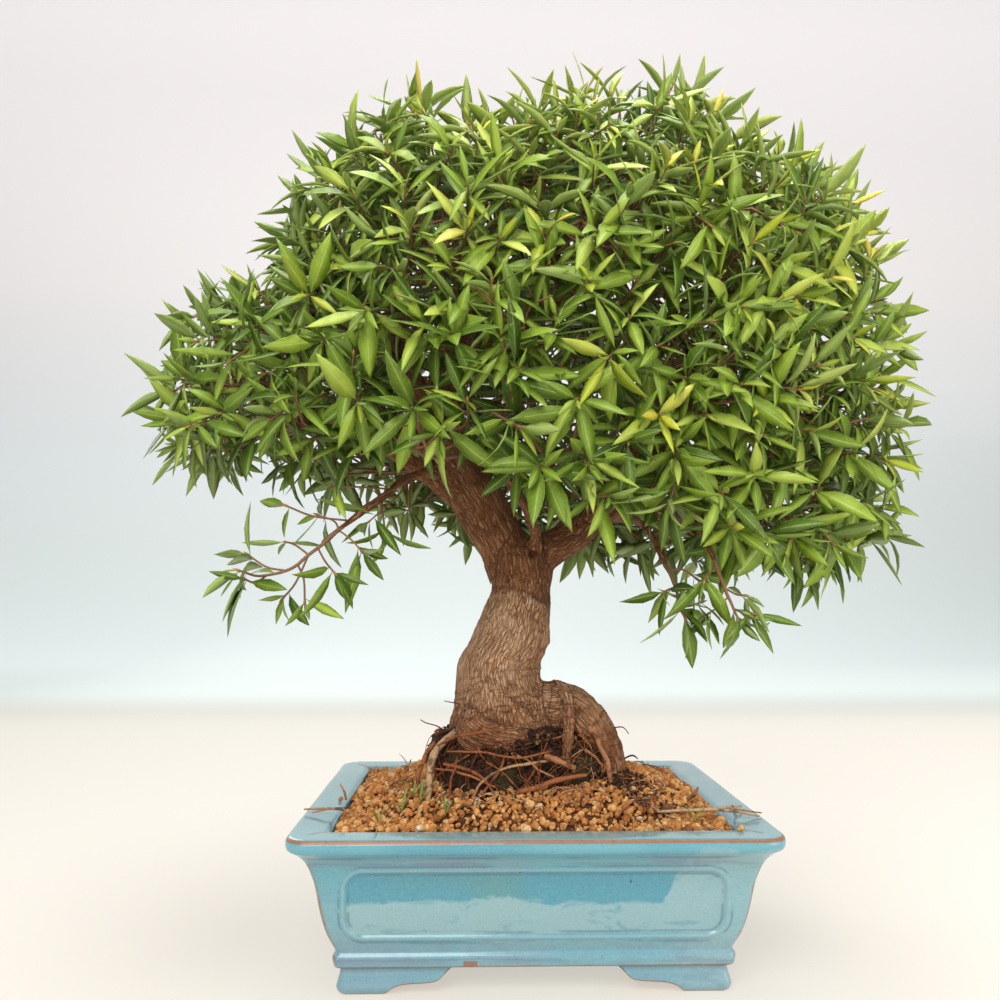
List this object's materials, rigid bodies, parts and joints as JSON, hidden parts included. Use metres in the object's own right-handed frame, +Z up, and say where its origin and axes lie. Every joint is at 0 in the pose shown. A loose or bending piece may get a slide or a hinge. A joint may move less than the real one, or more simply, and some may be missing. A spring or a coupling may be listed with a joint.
{
  "type": "willow leaf fig bonsai",
  "caption": "Small potted tree with a broad umbrella of narrow leaves over a leaning trunk with a knee-shaped root, in a rectangular glazed footed pot.",
  "frame": {"origin": "on the surface that the feet stand on, under the middle of the pot", "axes": "+Z up, +X to the right of the tree's front, -Y towards the viewer of its front"},
  "size_m": [0.5041, 0.3336, 0.5667],
  "materials": {
    "glaze": "gloss",
    "screen": "matte",
    "granules": "matte",
    "peat": "matte",
    "bark": "matte",
    "leaf": "satin"
  },
  "bodies": {
    "root": {"pot": "glaze", "drain_screen_left": "screen", "drain_screen_right": "screen", "soil": "granules", "root_ball": "peat", "trunk": "bark", "foliage_01": "leaf", "foliage_02": "leaf", "foliage_03": "leaf", "foliage_04": "leaf", "foliage_05": "leaf", "foliage_06": "leaf", "foliage_07": "leaf", "foliage_08": "leaf", "foliage_09": "leaf", "foliage_10": "leaf", "foliage_11": "leaf", "foliage_12": "leaf", "foliage_13": "leaf", "foliage_14": "leaf", "foliage_15": "leaf", "foliage_16": "leaf", "foliage_17": "leaf", "foliage_18": "leaf", "foliage_19": "leaf", "foliage_20": "leaf", "foliage_21": "leaf", "foliage_22": "leaf", "foliage_23": "leaf", "foliage_24": "leaf", "foliage_25": "leaf", "foliage_26": "leaf", "foliage_27": "leaf", "foliage_28": "leaf", "foliage_29": "leaf", "foliage_30": "leaf", "foliage_31": "leaf", "foliage_32": "leaf", "foliage_33": "leaf", "foliage_34": "leaf", "foliage_35": "leaf", "foliage_36": "leaf", "foliage_37": "leaf", "foliage_38": "leaf", "foliage_39": "leaf", "foliage_40": "leaf", "hanging_shoot_left": "leaf", "hanging_shoot_right": "leaf", "hanging_shoot_middle": "leaf"}
  },
  "joints": []
}
